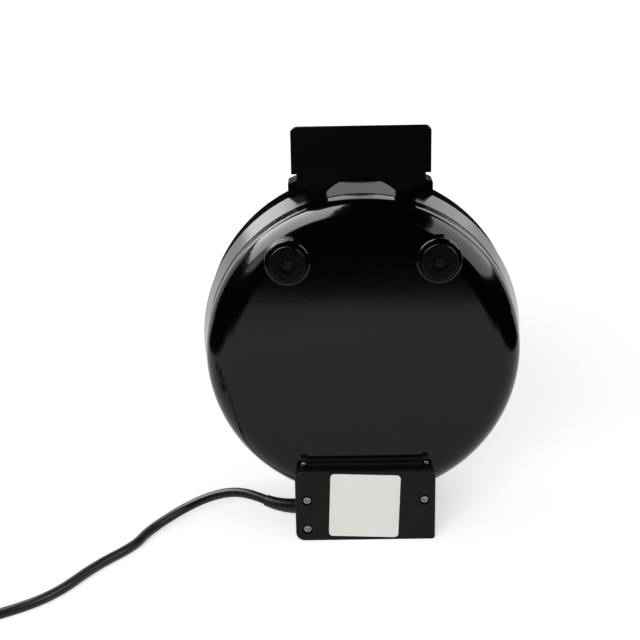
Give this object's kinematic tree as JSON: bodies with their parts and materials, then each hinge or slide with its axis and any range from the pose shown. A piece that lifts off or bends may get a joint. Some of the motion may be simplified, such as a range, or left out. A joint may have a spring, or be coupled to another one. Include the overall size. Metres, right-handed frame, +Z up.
{
  "type": "countertop cooker with hinged lid",
  "caption": "Round electric muffin maker stood upright on its hinge end, with a hinged lid, cupped baking plates, a loop grip, feet and a mains lead.",
  "frame": {"origin": "on the floor under the middle of the appliance's own box, its lead left out, as it stands upright on its hinge end", "axes": "+Z up towards the grip, +Y towards the top of the lid, +X to the right of someone who looks at the underside"},
  "size_m": [0.528, 0.238, 0.2995],
  "materials": {
    "black_enamel": "gloss black baked enamel on drawn steel",
    "gloss_black_plastic": "gloss black moulded plastic",
    "satin_black_plastic": "satin black moulded plastic",
    "nonstick_aluminium": "dark grey non-stick coating on cast aluminium",
    "aluminised_steel": "bright aluminised sheet steel",
    "heater_steel": "oxidised steel heater sheath",
    "nickel_steel": "bright nickel-plated steel screws",
    "hinge_steel": "plain bright steel",
    "brass_pins": "nickel-plated brass contact pins",
    "foot_rubber": "black silicone rubber",
    "white_phenolic": "white moulded insulating plastic",
    "red_lens": "translucent red lens",
    "green_lens": "translucent green lens",
    "cord_pvc": "black flexible PVC cord sheath",
    "wire_insulation": "woven glass and silicone wire insulation"
  },
  "bodies": {
    "base": {"bottom_pan": "black_enamel", "side_ring": "gloss_black_plastic", "foot_pads": "foot_rubber", "foot_screws": "nickel_steel", "foot_nuts": "nickel_steel", "lower_plate": "nonstick_aluminium", "lower_plate_screws": "nickel_steel", "lower_heater": "heater_steel", "lower_heater_pins": "brass_pins", "lower_heater_clips": "aluminised_steel", "lower_clip_screws": "nickel_steel", "lower_heat_shield": "aluminised_steel", "thermostat": "white_phenolic", "thermostat_clamp": "aluminised_steel", "thermostat_screws": "nickel_steel", "terminal_box": "satin_black_plastic", "box_cover": "satin_black_plastic", "cover_screws": "nickel_steel", "ledge_rivets": "nickel_steel", "cord_clamp": "white_phenolic", "cord_clamp_screws": "nickel_steel", "terminal_block": "white_phenolic", "hinge_pins": "hinge_steel", "base_handle": "gloss_black_plastic", "base_handle_screws": "nickel_steel", "base_wiring": "wire_insulation", "strain_relief": "cord_pvc", "cord_lead_in": "cord_pvc", "mains_cord": "cord_pvc", "cord_coil": "cord_pvc", "cord_tail": "cord_pvc", "plug_body": "cord_pvc", "plug_pins": "brass_pins"},
    "lid": {"lid_shell": "black_enamel", "lid_frame": "satin_black_plastic", "lid_hinge_housing": "satin_black_plastic", "lid_hinge_screws": "nickel_steel", "lid_handle": "gloss_black_plastic", "lid_handle_screws": "nickel_steel", "upper_plate": "nonstick_aluminium", "upper_plate_screws": "nickel_steel", "upper_heater": "heater_steel", "upper_heater_pins": "brass_pins", "upper_heater_clips": "aluminised_steel", "upper_clip_screws": "nickel_steel", "upper_heat_shield": "aluminised_steel", "power_lamp_lens": "red_lens", "ready_lamp_lens": "green_lens", "lamp_holders": "white_phenolic", "lid_wiring": "wire_insulation"}
  },
  "joints": [
    {"name": "lid_hinge", "type": "hinge", "parent": "base", "child": "lid", "pos_m": [0, 0.027, 0.012], "axis": [-1, 0, 0], "range_deg": [0, 95]}
  ]
}
